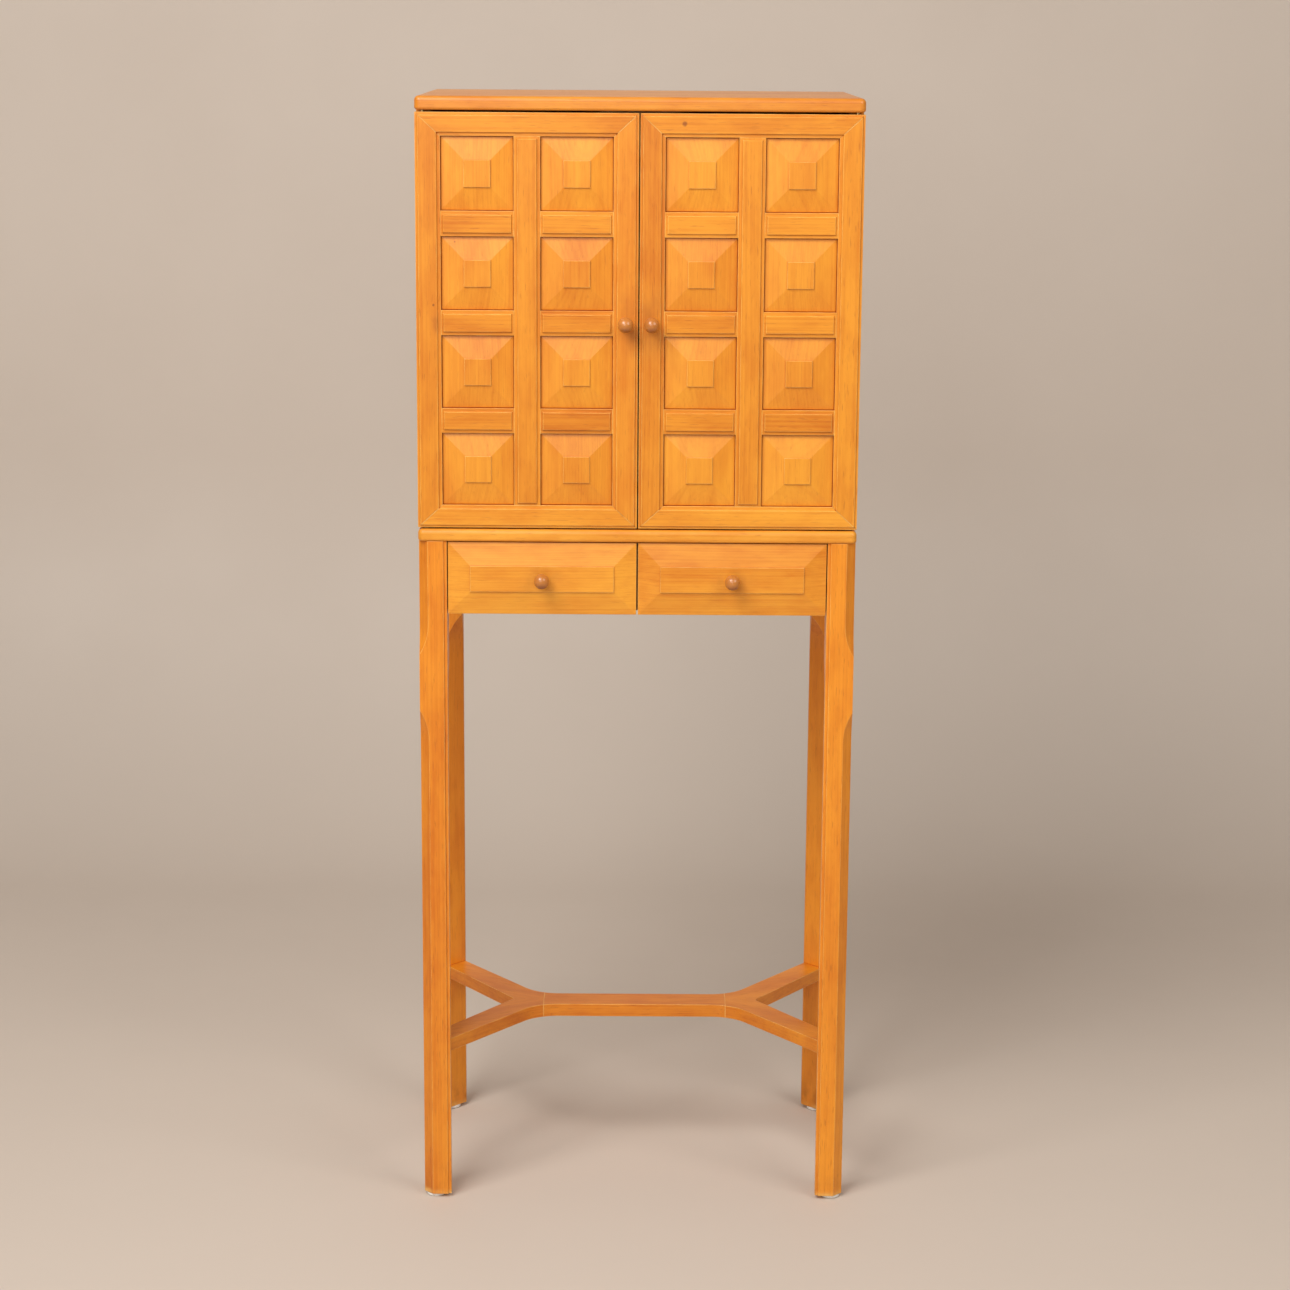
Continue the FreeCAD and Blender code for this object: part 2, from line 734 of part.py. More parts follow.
def drawer_sides():
    """The two sides of the right-hand drawer, grooved for its bottom."""
    sides = []
    for x_from in (box_inner_x, box_outer_x - drawer_side_thickness):
        side = box(x_from, x_from + drawer_side_thickness, drawer_joint_y - drawer_joint_depth,
                   drawer_end_y, runner_top, drawer_side_top)
        sides.append(side.cut(drawer_bottom_panel()))
    return Part.makeCompound(sides)


def drawer_back():
    """The back of the right-hand drawer, which stands on its bottom."""
    return box(box_inner_x + drawer_side_thickness, box_outer_x - drawer_side_thickness,
               drawer_end_y - drawer_side_thickness, drawer_end_y,
               drawer_floor, drawer_side_top - drawer_back_drop)


def drawer_bottom_panel():
    """The bottom of the right-hand drawer, in grooves of the sides and the front."""
    inset = drawer_side_thickness - drawer_groove_depth
    return box(box_inner_x + inset, box_outer_x - inset, drawer_joint_y - drawer_groove_depth,
               drawer_end_y, drawer_base, drawer_floor)


def stretcher_blank():
    """The whole stretcher in one, before it is parted at its two joints."""
    half = stretcher_bar_width / 2
    face_near_y = rear_leg_front_y - stand_middle_y
    face_far_y = face_near_y + leg_inner_chamfer
    face_far_x = leg_inner_x + leg_inner_chamfer
    right = [(stretcher_corner, half), (leg_inner_x, face_far_y), (face_far_x, face_near_y),
             (stretcher_crotch, 0),
             (face_far_x, -face_near_y), (leg_inner_x, -face_far_y), (stretcher_corner, -half)]
    left = [(-x, -y) for x, y in right]
    points = [Vector(x, stand_middle_y + y, stretcher_bottom) for x, y in right + left]
    blank = prism(points, Vector(0, 0, stretcher_thickness))
    for place, radius in ((stretcher_corner, stretcher_corner_radius),
                          (stretcher_crotch, stretcher_crotch_radius)):
        bends = [edge for edge in blank.Edges
                 if edge.BoundBox.ZLength > stretcher_thickness / 2
                 and abs(abs(edge.CenterOfMass.x) - place) < stretcher_crotch_radius
                 and abs(edge.CenterOfMass.y - stand_middle_y) < stretcher_bar_width]
        blank = blank.makeFillet(radius, bends)
    return blank


def stretcher_bar():
    """The straight middle of the stretcher."""
    space = box(-stretcher_joint, stretcher_joint, front_y, back_y, stretcher_bottom, stretcher_top)
    return stretcher_blank().common(space).cut(bar_dowels())


def stretcher_fork():
    """The right-hand fork of the stretcher."""
    space = box(stretcher_joint, leg_outer_x, front_y, back_y, stretcher_bottom, stretcher_top)
    rear_dowel = mirrored_back(leg_dowel())
    return stretcher_blank().common(space).cut([bar_dowels(), leg_dowel(), rear_dowel])


def bar_dowels():
    """The two dowels across each joint of the bar."""
    dowels = []
    for share in (-0.5, 0.5):
        start = Vector(stretcher_joint - dowel_length / 2, stand_middle_y + share * dowel_spacing,
                       stretcher_bottom + stretcher_thickness / 2)
        dowel = rod(dowel_radius, start, Vector(1, 0, 0), dowel_length)
        dowels.append(dowel)
        dowels.append(mirrored(dowel))
    return Part.makeCompound(dowels)


def leg_dowel():
    """The dowel between the front right-hand leg and its arm of the fork."""
    half_face = leg_inner_chamfer / 2
    direction = Vector(-1, 1, 0).normalize()
    middle = Vector(leg_inner_x + half_face, front_rail_back_y - half_face,
                    stretcher_bottom + stretcher_thickness / 2)
    return rod(dowel_radius, middle - direction * (dowel_length / 2), direction, dowel_length)


def four_corners(shape):
    """A piece of the front right-hand leg together with its three twins."""
    rear = mirrored_back(shape)
    return Part.makeCompound([shape, rear, mirrored(shape), mirrored(rear)])


def stretcher_dowels():
    """All eight dowels of the stretcher."""
    return Part.makeCompound([four_corners(leg_dowel()), bar_dowels()])


def glide():
    """The round glide under the front right-hand leg, with its nail."""
    start = Vector(leg_outer_x - leg_width / 2 + glide_offset, leg_front_y + leg_width / 2 - glide_offset, 0)
    foot = Part.makeCone(glide_radius - glide_bevel, glide_radius, glide_bevel, start, Vector(0, 0, 1))
    top = start + Vector(0, 0, glide_bevel)
    disc = rod(glide_radius, top, Vector(0, 0, 1), glide_height - glide_bevel)
    nail = rod(glide_nail_radius, top, Vector(0, 0, 1), glide_nail_length)
    return foot.fuse([disc, nail]).removeSplitter()


centred_pieces = {
    "top_board": top_board(),
    "base_board": base_board(),
    "back_panel": back_panel(),
    "shelf": shelf(),
    "shelf_pins": shelf_pins(),
    "door_stop": stop_block(),
    "catch_magnets": catch_magnets(),
    "fixed_hinge_leaves": fixed_hinge_leaves(),
    "rear_apron": rear_apron(),
    "lower_front_rail": lower_front_rail(),
    "upper_front_rail": upper_front_rail(),
    "drawer_divider": drawer_divider(),
    "centre_runner": centre_runner(),
    "drawer_kickers": kickers(),
    "stand_screws": stand_screws(),
    "stretcher_bar": stretcher_bar(),
    "stretcher_dowels": stretcher_dowels(),
    "leg_glides": four_corners(glide()),
}

paired_pieces = {
    "side_panel": side_panel(),
    "front_leg": front_leg(),
    "rear_leg": rear_leg(),
    "side_apron": side_apron(),
    "side_runner": side_runner(),
    "stretcher_fork": stretcher_fork(),
    "door_outer_stile": door_stile(True),
    "door_inner_stile": door_stile(False),
    "door_top_rail": door_rail(True),
    "door_bottom_rail": door_rail(False),
    "door_muntin": door_muntin(),
    "door_cross_rails": door_cross_rails(),
    "door_panels": door_panels(),
    "door_fittings": door_fittings(),
    "door_knob": knob(door_knob_x, door_front_y, door_middle),
    "drawer_front": drawer_front(),
    "drawer_sides": drawer_sides(),
    "drawer_back": drawer_back(),
    "drawer_bottom": drawer_bottom_panel(),
    "drawer_knob": knob(drawer_middle_x, drawer_field_y, drawer_middle),
}

os.makedirs("parts", exist_ok=True)
for name, shape in centred_pieces.items():
    shape.exportStep(f"parts/{name}.step")
for name, shape in paired_pieces.items():
    shape.exportStep(f"parts/right_{name}.step")
    mirrored(shape).exportStep(f"parts/left_{name}.step")
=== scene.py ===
import math

import bpy
from mathutils import Matrix, Vector


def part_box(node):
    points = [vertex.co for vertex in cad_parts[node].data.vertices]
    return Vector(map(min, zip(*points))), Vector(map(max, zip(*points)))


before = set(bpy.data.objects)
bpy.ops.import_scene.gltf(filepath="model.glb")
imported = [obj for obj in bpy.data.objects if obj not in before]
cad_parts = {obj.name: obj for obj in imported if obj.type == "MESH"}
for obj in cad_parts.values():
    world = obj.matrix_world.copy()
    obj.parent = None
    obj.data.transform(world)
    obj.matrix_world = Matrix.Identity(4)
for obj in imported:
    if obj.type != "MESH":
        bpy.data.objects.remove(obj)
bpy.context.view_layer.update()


# ---- Cabinet sides ---------------------------------------------------------------------------
# Two solid boards of a fine-grained honey-coloured wood, standing upright and housed into the
# boards above and below. They are planed, sanded and brushed with a satin varnish that has turned
# amber; the arrises are eased and rubbed paler, and that pale colour also serves as a painted
# highlight line. Narrow gaps and inner corners get a painted red-brown shade.


def feed(tree, made, feeds):
    """Gives a node's inputs, by name, plain values or other nodes' outputs."""
    for key, value in feeds.items():
        if isinstance(value, bpy.types.NodeSocket):
            tree.links.new(value, made.inputs[key])
        else:
            made.inputs[key].default_value = value
    return made


def step(tree, kind, feeds, **setup):
    """One shader node, set up and then fed."""
    made = tree.nodes.new("ShaderNode" + kind)
    for key, value in setup.items():
        setattr(made, key, value)
    return feed(tree, made, feeds)


def reckon(tree, operation, *values):
    """Arithmetic with numbers."""
    return step(tree, "Math", dict(enumerate(values)), operation=operation).outputs[0]


def shift(tree, operation, *values):
    """Arithmetic with vectors; LENGTH gives its number and every other operation its vector."""
    made = step(tree, "VectorMath", dict(enumerate(values)), operation=operation)
    return made.outputs["Value" if operation in ("LENGTH", "DOT_PRODUCT") else "Vector"]


def between(tree, value, low, high, to_low=0.0, to_high=1.0):
    """Runs smoothly from to_low to to_high while the value goes from low to high."""
    feeds = {"Value": value, "From Min": low, "From Max": high, "To Min": to_low, "To Max": to_high}
    return step(tree, "MapRange", feeds, interpolation_type="SMOOTHSTEP").outputs[0]


def tinted(tree, share, under, over):
    """One colour laid over another by a share from 0 to 1."""
    feeds = {0: share, 6: under, 7: over}
    return step(tree, "Mix", feeds, data_type="RGBA", blend_type="MIX").outputs[2]


# A noise is made of a number of finer layers and the strength that each has beside the last.
smooth, plain, crisp = (1.0, 0.5), (2.0, 0.5), (3.0, 0.6)
mottled, cloudy, rolled_on = (3.0, 0.5), (4.0, 0.5), (5.0, 0.5)
noise_middle = 0.5


def speckle(tree, place, stretch, layers=plain):
    """Soft noise with its own number of spots per metre along each of the three directions."""
    detail, roughness = layers
    stretched = shift(tree, "MULTIPLY", place, stretch)
    feeds = {"Vector": stretched, "Scale": 1.0, "Detail": detail, "Roughness": roughness}
    return step(tree, "TexNoise", feeds).outputs[0]


def patches(tree, place, stretch, band, layers=plain, least=0.0):
    """Soft-edged patches that come in over a band of the noise's values, from least up to 1."""
    return between(tree, speckle(tree, place, stretch, layers), *band, least)


def shared_effect(name, takes, gives):
    """A node group with named inputs and outputs, and the ends that its nodes connect to."""
    group = bpy.data.node_groups.new(name, "ShaderNodeTree")
    for way, sockets in (("INPUT", takes), ("OUTPUT", gives)):
        for socket, kind in sockets.items():
            group.interface.new_socket(socket, in_out=way, socket_type="NodeSocket" + kind)
    start, end = group.nodes.new("NodeGroupInput"), group.nodes.new("NodeGroupOutput")
    return group, start.outputs, end.inputs


def use(tree, effect, feeds):
    """Places a shared effect in a material with that material's own values."""
    made = tree.nodes.new("ShaderNodeGroup")
    made.node_tree = effect
    return feed(tree, made, feeds).outputs


# Each board is cut from another part of the plank, so its figure and tone differ from its
# neighbour's. Alike boards that share a piece are told apart by the spacing between them.
own_board, board_in, board_out = shared_effect(
    "own_board",
    {"Place": "Vector", "Corner": "Vector", "Spacing": "Vector", "Number": "Float"},
    {"Place": "Vector", "Tone": "Float"},
)
plank_spread = (0.35, 0.35, 2.0)
from_corner = shift(own_board, "SUBTRACT", board_in["Place"], board_in["Corner"])
board_cell = shift(own_board, "FLOOR", shift(own_board, "DIVIDE", from_corner, board_in["Spacing"]))
board_key = step(own_board, "TexWhiteNoise", {"Vector": board_cell, "W": board_in["Number"]},
                 noise_dimensions="4D")
plank_shift = shift(own_board, "MULTIPLY", board_key.outputs["Color"], plank_spread)
own_board.links.new(shift(own_board, "ADD", board_in["Place"], plank_shift), board_out["Place"])
own_board.links.new(board_key.outputs["Value"], board_out["Tone"])

# The grain itself: growth rings round a heart that lies outside the board, fine fibres and short
# pores along the board, and slow clouds of lighter and darker wood. Place has Z along the grain.
long_grain, grain_in, grain_out = shared_effect(
    "long_grain",
    {"Place": "Vector", "Ring Width": "Float", "Curl": "Float", "Tone": "Float",
     "Contrast": "Float", "Pore Amount": "Float", "Pale": "Color", "Deep": "Color",
     "Pore Colour": "Color"},
    {"Colour": "Color", "Shine": "Float", "Height": "Float"},
)
heart_of_tree = (0.21, 0.10, 0.0)
in_cross_section = (1.0, 1.0, 0.0)
curl_stretch, ripple_stretch, ripple_share = (7.0, 7.0, 1.6), (60.0, 60.0, 7.0), 0.10
ring_layers, late_wood_band = 1.5, (0.40, 0.68)
streak_stretch, streak_band = (330.0, 330.0, 7.0), (0.32, 0.70)
fibre_stretch = (1300.0, 1300.0, 32.0)
pore_stretch, pore_band = (1000.0, 1000.0, 55.0), (0.64, 0.74)
cloud_stretch, cloud_band = (13.0, 13.0, 2.4), (0.28, 0.72)
figure_stretch, figure_band = (52.0, 52.0, 17.0), (0.34, 0.72)
ring_share, streak_share, fibre_share = 0.16, 0.16, 0.08
cloud_share, figure_share, tone_share = 0.38, 0.30, 0.28
fibre_shine, pore_shine = 0.5, 0.5
fibre_ridge, streak_ridge = 0.5, 0.5
middle_colour = 0.5

grain_place = grain_in["Place"]
slow_curl = reckon(long_grain, "SUBTRACT", speckle(long_grain, grain_place, curl_stretch),
                   noise_middle)
ripple = reckon(long_grain, "SUBTRACT", speckle(long_grain, grain_place, ripple_stretch),
                noise_middle)
curl = reckon(long_grain, "MULTIPLY_ADD", ripple, ripple_share, slow_curl)
flat_place = shift(long_grain, "MULTIPLY", grain_place, in_cross_section)
from_heart = shift(long_grain, "LENGTH", shift(long_grain, "SUBTRACT", flat_place, heart_of_tree))
across = reckon(long_grain, "MULTIPLY_ADD", curl, grain_in["Curl"], from_heart)
ring_count = reckon(long_grain, "DIVIDE", across, grain_in["Ring Width"])
ring_noise = step(long_grain, "TexNoise", {"W": ring_count, "Scale": 1.0, "Detail": ring_layers},
                  noise_dimensions="1D").outputs[0]
late_wood = between(long_grain, ring_noise, *late_wood_band)
streaks = patches(long_grain, grain_place, streak_stretch, streak_band, crisp)
fibres = speckle(long_grain, grain_place, fibre_stretch, smooth)
pores = patches(long_grain, grain_place, pore_stretch, pore_band, smooth)
clouds = patches(long_grain, grain_place, cloud_stretch, cloud_band)
figure = patches(long_grain, grain_place, figure_stretch, figure_band, crisp)

depth = reckon(long_grain, "MULTIPLY", late_wood, ring_share)
for mark, share in ((streaks, streak_share), (fibres, fibre_share), (clouds, cloud_share),
                    (figure, figure_share), (grain_in["Tone"], tone_share)):
    depth = reckon(long_grain, "MULTIPLY_ADD", mark, share, depth)
all_shares = ring_share + streak_share + fibre_share + cloud_share + figure_share + tone_share
depth = reckon(long_grain, "SUBTRACT", depth, all_shares / 2)
depth = reckon(long_grain, "MULTIPLY_ADD", depth, grain_in["Contrast"], middle_colour)
body_colour = tinted(long_grain, depth, grain_in["Pale"], grain_in["Deep"])
pore_share = reckon(long_grain, "MULTIPLY", pores, grain_in["Pore Amount"])
grain_colour = tinted(long_grain, pore_share, body_colour, grain_in["Pore Colour"])
long_grain.links.new(grain_colour, grain_out["Colour"])
shine = reckon(long_grain, "MULTIPLY_ADD", fibres, fibre_shine,
               reckon(long_grain, "MULTIPLY", pores, pore_shine))
long_grain.links.new(shine, grain_out["Shine"])
ridge = reckon(long_grain, "MULTIPLY_ADD", fibres, fibre_ridge,
               reckon(long_grain, "MULTIPLY", streaks, streak_ridge))
long_grain.links.new(reckon(long_grain, "SUBTRACT", ridge, pores), grain_out["Height"])

# Sanding rounds every arris a little and years of dusting rub the colour off it in patches; the
# pale arris colour also stands in as a painted highlight line along every edge. How far the
# rounded surface turns from the flat face, as a cosine, tells where the arris is.
arris_wear_and_highlight, arris_in, arris_out = shared_effect(
    "arris_wear_and_highlight", {"Place": "Vector", "Reach": "Float"}, {"Pale Edge": "Float", "Normal": "Vector"})
still_flat, fully_turned = 0.998, 0.92
rub_stretch, rub_band, least_rub = (45.0, 45.0, 45.0), (0.34, 0.62), 0.35
rounded = step(arris_wear_and_highlight, "Bevel", {"Radius": arris_in["Reach"]}, samples=6).outputs[0]
flat_face = arris_wear_and_highlight.nodes.new("ShaderNodeNewGeometry").outputs["Normal"]
facing = shift(arris_wear_and_highlight, "DOT_PRODUCT", rounded, flat_face)
on_arris = between(arris_wear_and_highlight, facing, still_flat, fully_turned)
rubbed = patches(arris_wear_and_highlight, arris_in["Place"], rub_stretch, rub_band, mottled, least_rub)
arris_wear_and_highlight.links.new(reckon(arris_wear_and_highlight, "MULTIPLY", on_arris, rubbed), arris_out["Pale Edge"])
arris_wear_and_highlight.links.new(rounded, arris_out["Normal"])

# Painted shade: narrow gaps and inner corners, found by ambient occlusion, are painted a dark
# red-brown where shade falls. Open is 1 on surfaces away from any corner, where an arris can be
# rubbed.
painted_shade, shade_in, shade_out = shared_effect(
    "painted_crevice_shade", {"Reach": "Float"}, {"Dark": "Float", "Open": "Float"})
dark_band, open_band = (0.82, 0.36), (0.80, 0.96)
open_share = step(painted_shade, "AmbientOcclusion", {"Distance": shade_in["Reach"]},
                  samples=8).outputs["AO"]
painted_shade.links.new(between(painted_shade, open_share, *dark_band), shade_out["Dark"])
painted_shade.links.new(between(painted_shade, open_share, *open_band), shade_out["Open"])

# A glued joint shows as a hair line in the plane where two pieces meet, fainter here and there.
glue_line, glue_in, glue_out = shared_effect(
    "glue_line", {"Place": "Vector", "Joint": "Vector", "Across": "Vector"}, {"Line": "Float"})
hair_edges = (0.0008, 0.0002)
break_stretch, break_band, faintest = (160.0, 160.0, 160.0), (0.36, 0.58), 0.25
from_joint = shift(glue_line, "SUBTRACT", glue_in["Place"], glue_in["Joint"])
off_joint = shift(glue_line, "DOT_PRODUCT", from_joint, glue_in["Across"])
hair = between(glue_line, reckon(glue_line, "ABSOLUTE", off_joint), *hair_edges)
broken = patches(glue_line, glue_in["Place"], break_stretch, break_band, least=faintest)
glue_line.links.new(reckon(glue_line, "MULTIPLY", hair, broken), glue_out["Line"])

# A small knot pushes the grain round itself and is dark and reddish in the middle.
pin_knot, knot_in, knot_out = shared_effect(
    "pin_knot", {"Place": "Vector", "Middle": "Vector", "Size": "Float"},
    {"Place": "Vector", "Dark": "Float"})
ragged_stretch, raggedness = (700.0, 700.0, 700.0), 0.9
pinch_strength, knot_edges = 0.9, (1.9, 0.9)
from_knot = shift(pin_knot, "SUBTRACT", knot_in["Place"], knot_in["Middle"])
ragged = reckon(pin_knot, "MULTIPLY", speckle(pin_knot, knot_in["Place"], ragged_stretch),
                raggedness)
knot_distance = reckon(pin_knot, "DIVIDE", shift(pin_knot, "LENGTH", from_knot), knot_in["Size"])
knot_distance = reckon(pin_knot, "ADD", knot_distance, ragged)
pinch = reckon(pin_knot, "DIVIDE", pinch_strength,
               reckon(pin_knot, "MULTIPLY_ADD", knot_distance, knot_distance, 1.0))
pushed = step(pin_knot, "VectorMath", {0: from_knot, "Scale": pinch}, operation="SCALE").outputs[0]
pin_knot.links.new(shift(pin_knot, "ADD", knot_in["Place"], pushed), knot_out["Place"])
pin_knot.links.new(between(pin_knot, knot_distance, *knot_edges), knot_out["Dark"])

# A soft-edged patch that is a little darker and duller: left by hands, feet and cloths, and also
# painted as the shade under each knob.
soft_patch, patch_in, patch_out = shared_effect(
    "soft_patch", {"Place": "Vector", "Middle": "Vector", "Reach": "Vector"}, {"Patch": "Float"})
blotch_stretch, blotch_band, patch_edges = (55.0, 55.0, 40.0), (0.3, 0.65), (1.0, 0.1)
from_patch_middle = shift(soft_patch, "SUBTRACT", patch_in["Place"], patch_in["Middle"])
patch_distance = shift(soft_patch, "LENGTH", shift(soft_patch, "DIVIDE", from_patch_middle, patch_in["Reach"]))
patch_falloff = between(soft_patch, patch_distance, *patch_edges)
blotches = patches(soft_patch, patch_in["Place"], blotch_stretch, blotch_band, mottled)
soft_patch.links.new(reckon(soft_patch, "MULTIPLY", patch_falloff, blotches), patch_out["Patch"])

# In each finish, the red-brown for gaps and inner corners is painted shade, and the pale arris
# colour is partly wear and partly a painted highlight.
varnish = {
    "pale": (0.76, 0.288, 0.018, 1), "deep": (0.56, 0.151, 0.004, 1),
    "pores": (0.30, 0.06, 0.004, 1), "wear_and_highlight": (0.96, 0.60, 0.17, 1),
    "grime_and_shade": (0.24, 0.055, 0.006, 1), "painted_shade": (0.50, 0.060, 0.0005, 1),
    "ring_width": 0.0028, "curl": 0.016, "contrast": 1.25, "pore_amount": 0.4,
    "roughness": (0.42, 0.56), "relief": 0.00005, "specular": 0.35,
    "coat": 0.25, "coat_roughness": 0.25,
    "arris": 0.0011, "arris_share": 0.85, "shade_reach": 0.0020,
}
board_margin = 0.01
knot_share, glue_share = 0.8, 0.6
coat_lost_at = 0.7
swap_for_grain = {"x": ("Y", "Z", "X"), "y": ("X", "Z", "Y"), "z": ("X", "Y", "Z")}
board_number = 0


def along_grain(tree, place, runs):
    """Turns the place so that Z runs along the board's grain."""
    parts = step(tree, "SeparateXYZ", {0: place}).outputs
    turned = {key: parts[axis] for key, axis in zip("XYZ", swap_for_grain[runs])}
    return step(tree, "CombineXYZ", turned).outputs[0]


def new_material(name):
    """A material with its tree, its shader and the place on the piece."""
    material = bpy.data.materials.new(name)
    material.use_nodes = True
    tree = material.node_tree
    place = tree.nodes.new("ShaderNodeTexCoord").outputs["Object"]
    return material, tree, tree.nodes["Principled BSDF"], place


def finish_node(node, material):
    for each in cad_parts[node].material_slots:
        each.material = material


def wooden(node, runs, finish=varnish, spacing=None, corner=None, knots=(), tinted_patches=(), turn=None,
           joints=()):
    """Finishes one wooden CAD node. Runs is the direction of its grain, spacing and corner divide
    a node of several boards, knots are (place, size), tinted patches are (place, reach, strength,
    colour name) and cover stain marks, darker feet and the painted shade under each knob, and
    joints are (place, direction across, colour)."""
    global board_number
    board_number += 1
    low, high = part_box(node)
    margin = Vector((board_margin, board_margin, board_margin))
    spacing = spacing or high - low + 2 * margin
    corner = corner or low - margin
    material, tree, shader, real_place = new_material(node + "_wood")
    place = real_place
    knot_marks = []
    for middle, size in knots:
        knot = use(tree, pin_knot, {"Place": place, "Middle": middle, "Size": size})
        place = knot["Place"]
        knot_marks.append(knot["Dark"])
    if turn:
        place = turn(tree, place)
    board = use(tree, own_board, {"Place": place, "Corner": corner, "Spacing": spacing,
                                  "Number": float(board_number)})
    grain = use(tree, long_grain, {
        "Place": along_grain(tree, board["Place"], runs), "Ring Width": finish["ring_width"],
        "Curl": finish["curl"], "Tone": board["Tone"], "Contrast": finish["contrast"],
        "Pore Amount": finish["pore_amount"], "Pale": finish["pale"], "Deep": finish["deep"],
        "Pore Colour": finish["pores"]})
    arris = use(tree, arris_wear_and_highlight, {"Place": real_place, "Reach": finish["arris"]})
    corners = use(tree, painted_shade, {"Reach": finish["shade_reach"]})

    def laid_over(colour, mark, share, tint):
        return tinted(tree, reckon(tree, "MULTIPLY", mark, share), colour, tint)

    colour, dull, dark = grain["Colour"], grain["Shine"], corners["Dark"]
    for mark in knot_marks:
        colour = laid_over(colour, mark, knot_share, finish["grime_and_shade"])
    for middle, reach, share, tint in tinted_patches:
        patch = use(tree, soft_patch, {"Place": real_place, "Middle": middle, "Reach": reach})["Patch"]
        colour = laid_over(colour, patch, share, finish[tint])
        dull = reckon(tree, "ADD", dull, patch)
    for middle, direction, glue in joints:
        line = use(tree, glue_line, {"Place": real_place, "Joint": middle, "Across": direction})
        colour = laid_over(colour, line["Line"], glue_share, glue)
    # Arrises are painted paler: partly rubbed wear, partly a painted highlight line.
    pale_edge_mask = reckon(tree, "MULTIPLY", arris["Pale Edge"], corners["Open"])
    colour = laid_over(colour, pale_edge_mask, finish["arris_share"], finish["wear_and_highlight"])
    low_gloss, high_gloss = finish["roughness"]
    gloss = between(tree, dull, 0.0, 1.0, low_gloss, high_gloss)
    relief = step(tree, "Bump", {"Strength": 1.0, "Distance": finish["relief"],
                                 "Height": grain["Height"], "Normal": arris["Normal"]})
    # Painted shade: gaps and inner corners are tinted red-brown, made rough and lose their coat.
    feed(tree, shader, {
        "Base Color": tinted(tree, dark, colour, finish["painted_shade"]),
        "Roughness": reckon(tree, "MAXIMUM", gloss, dark),
        "Normal": relief.outputs[0],
        "Specular IOR Level": finish["specular"],
        "Coat Weight": between(tree, dark, 0.0, coat_lost_at, finish["coat"], 0.0),
        "Coat Roughness": finish["coat_roughness"]})
    finish_node(node, material)


wooden("left_side_panel", "z")
wooden("right_side_panel", "z")


# ---- Top and base boards ---------------------------------------------------------------------
# Two solid boards with their grain across the cabinet and their front edges rounded over, the
# lower one paler. The sides stand between them in stopped housings, glued.

top_wood = dict(varnish, coat=0.45, specular=0.45)
pale_board = dict(varnish, pale=(0.84, 0.375, 0.040, 1), deep=(0.65, 0.205, 0.010, 1))
wooden("top_board", "x", top_wood)
wooden("base_board", "x", pale_board)


# ---- Back panel ------------------------------------------------------------------------------
# A thin veneered board let into a rebate all round the back of the cabinet, rubbed with the same
# varnish but never polished.

back_veneer = dict(varnish, pale=(0.62, 0.33, 0.12, 1), deep=(0.46, 0.20, 0.055, 1),
                   pores=(0.34, 0.13, 0.04, 1), painted_shade=(0.20, 0.07, 0.015, 1),
                   ring_width=0.006, curl=0.05, contrast=0.9,
                   roughness=(0.5, 0.68), coat=0.05, coat_roughness=0.4)
wooden("back_panel", "z", back_veneer)


# ---- Shelf and its pins ----------------------------------------------------------------------
# A loose solid shelf, sanded and only thinly sealed, on four turned brass pins pushed into holes
# in the sides.

sealed_wood = dict(varnish, pale=(0.66, 0.40, 0.18, 1), deep=(0.50, 0.26, 0.095, 1),
                   pores=(0.32, 0.14, 0.045, 1), wear_and_highlight=(0.74, 0.50, 0.27, 1),
                   painted_shade=(0.26, 0.11, 0.035, 1), contrast=0.85,
                   roughness=(0.48, 0.66), coat=0.08, coat_roughness=0.35)
wooden("shelf", "x", sealed_wood)

# Handling leaves metal with fine scratches one way, cloudy tarnish, and brighter corners.
scratched_metal, metal_in, metal_out = shared_effect(
    "scratched_metal",
    {"Place": "Vector", "Bright": "Color", "Dull": "Color"},
    {"Colour": "Color", "Scratch": "Float", "Tarnish": "Float"},
)
scratch_stretch, scratch_band = (4000.0, 220.0, 4000.0), (0.35, 0.7)
tarnish_stretch, tarnish_band = (260.0, 260.0, 260.0), (0.38, 0.66)
scratches = patches(scratched_metal, metal_in["Place"], scratch_stretch, scratch_band)
tarnish = patches(scratched_metal, metal_in["Place"], tarnish_stretch, tarnish_band, cloudy)
tarnished = tinted(scratched_metal, tarnish, metal_in["Bright"], metal_in["Dull"])
scratched_metal.links.new(tarnished, metal_out["Colour"])
scratched_metal.links.new(scratches, metal_out["Scratch"])
scratched_metal.links.new(tarnish, metal_out["Tarnish"])

brass = {"bright": (0.83, 0.62, 0.28, 1), "dull": (0.50, 0.33, 0.13, 1), "gloss": (0.22, 0.46)}
metal_arris = 0.0003
scratch_share, tarnish_share = 0.4, 0.6
scratch_relief, scratch_depth = 0.4, 0.00002


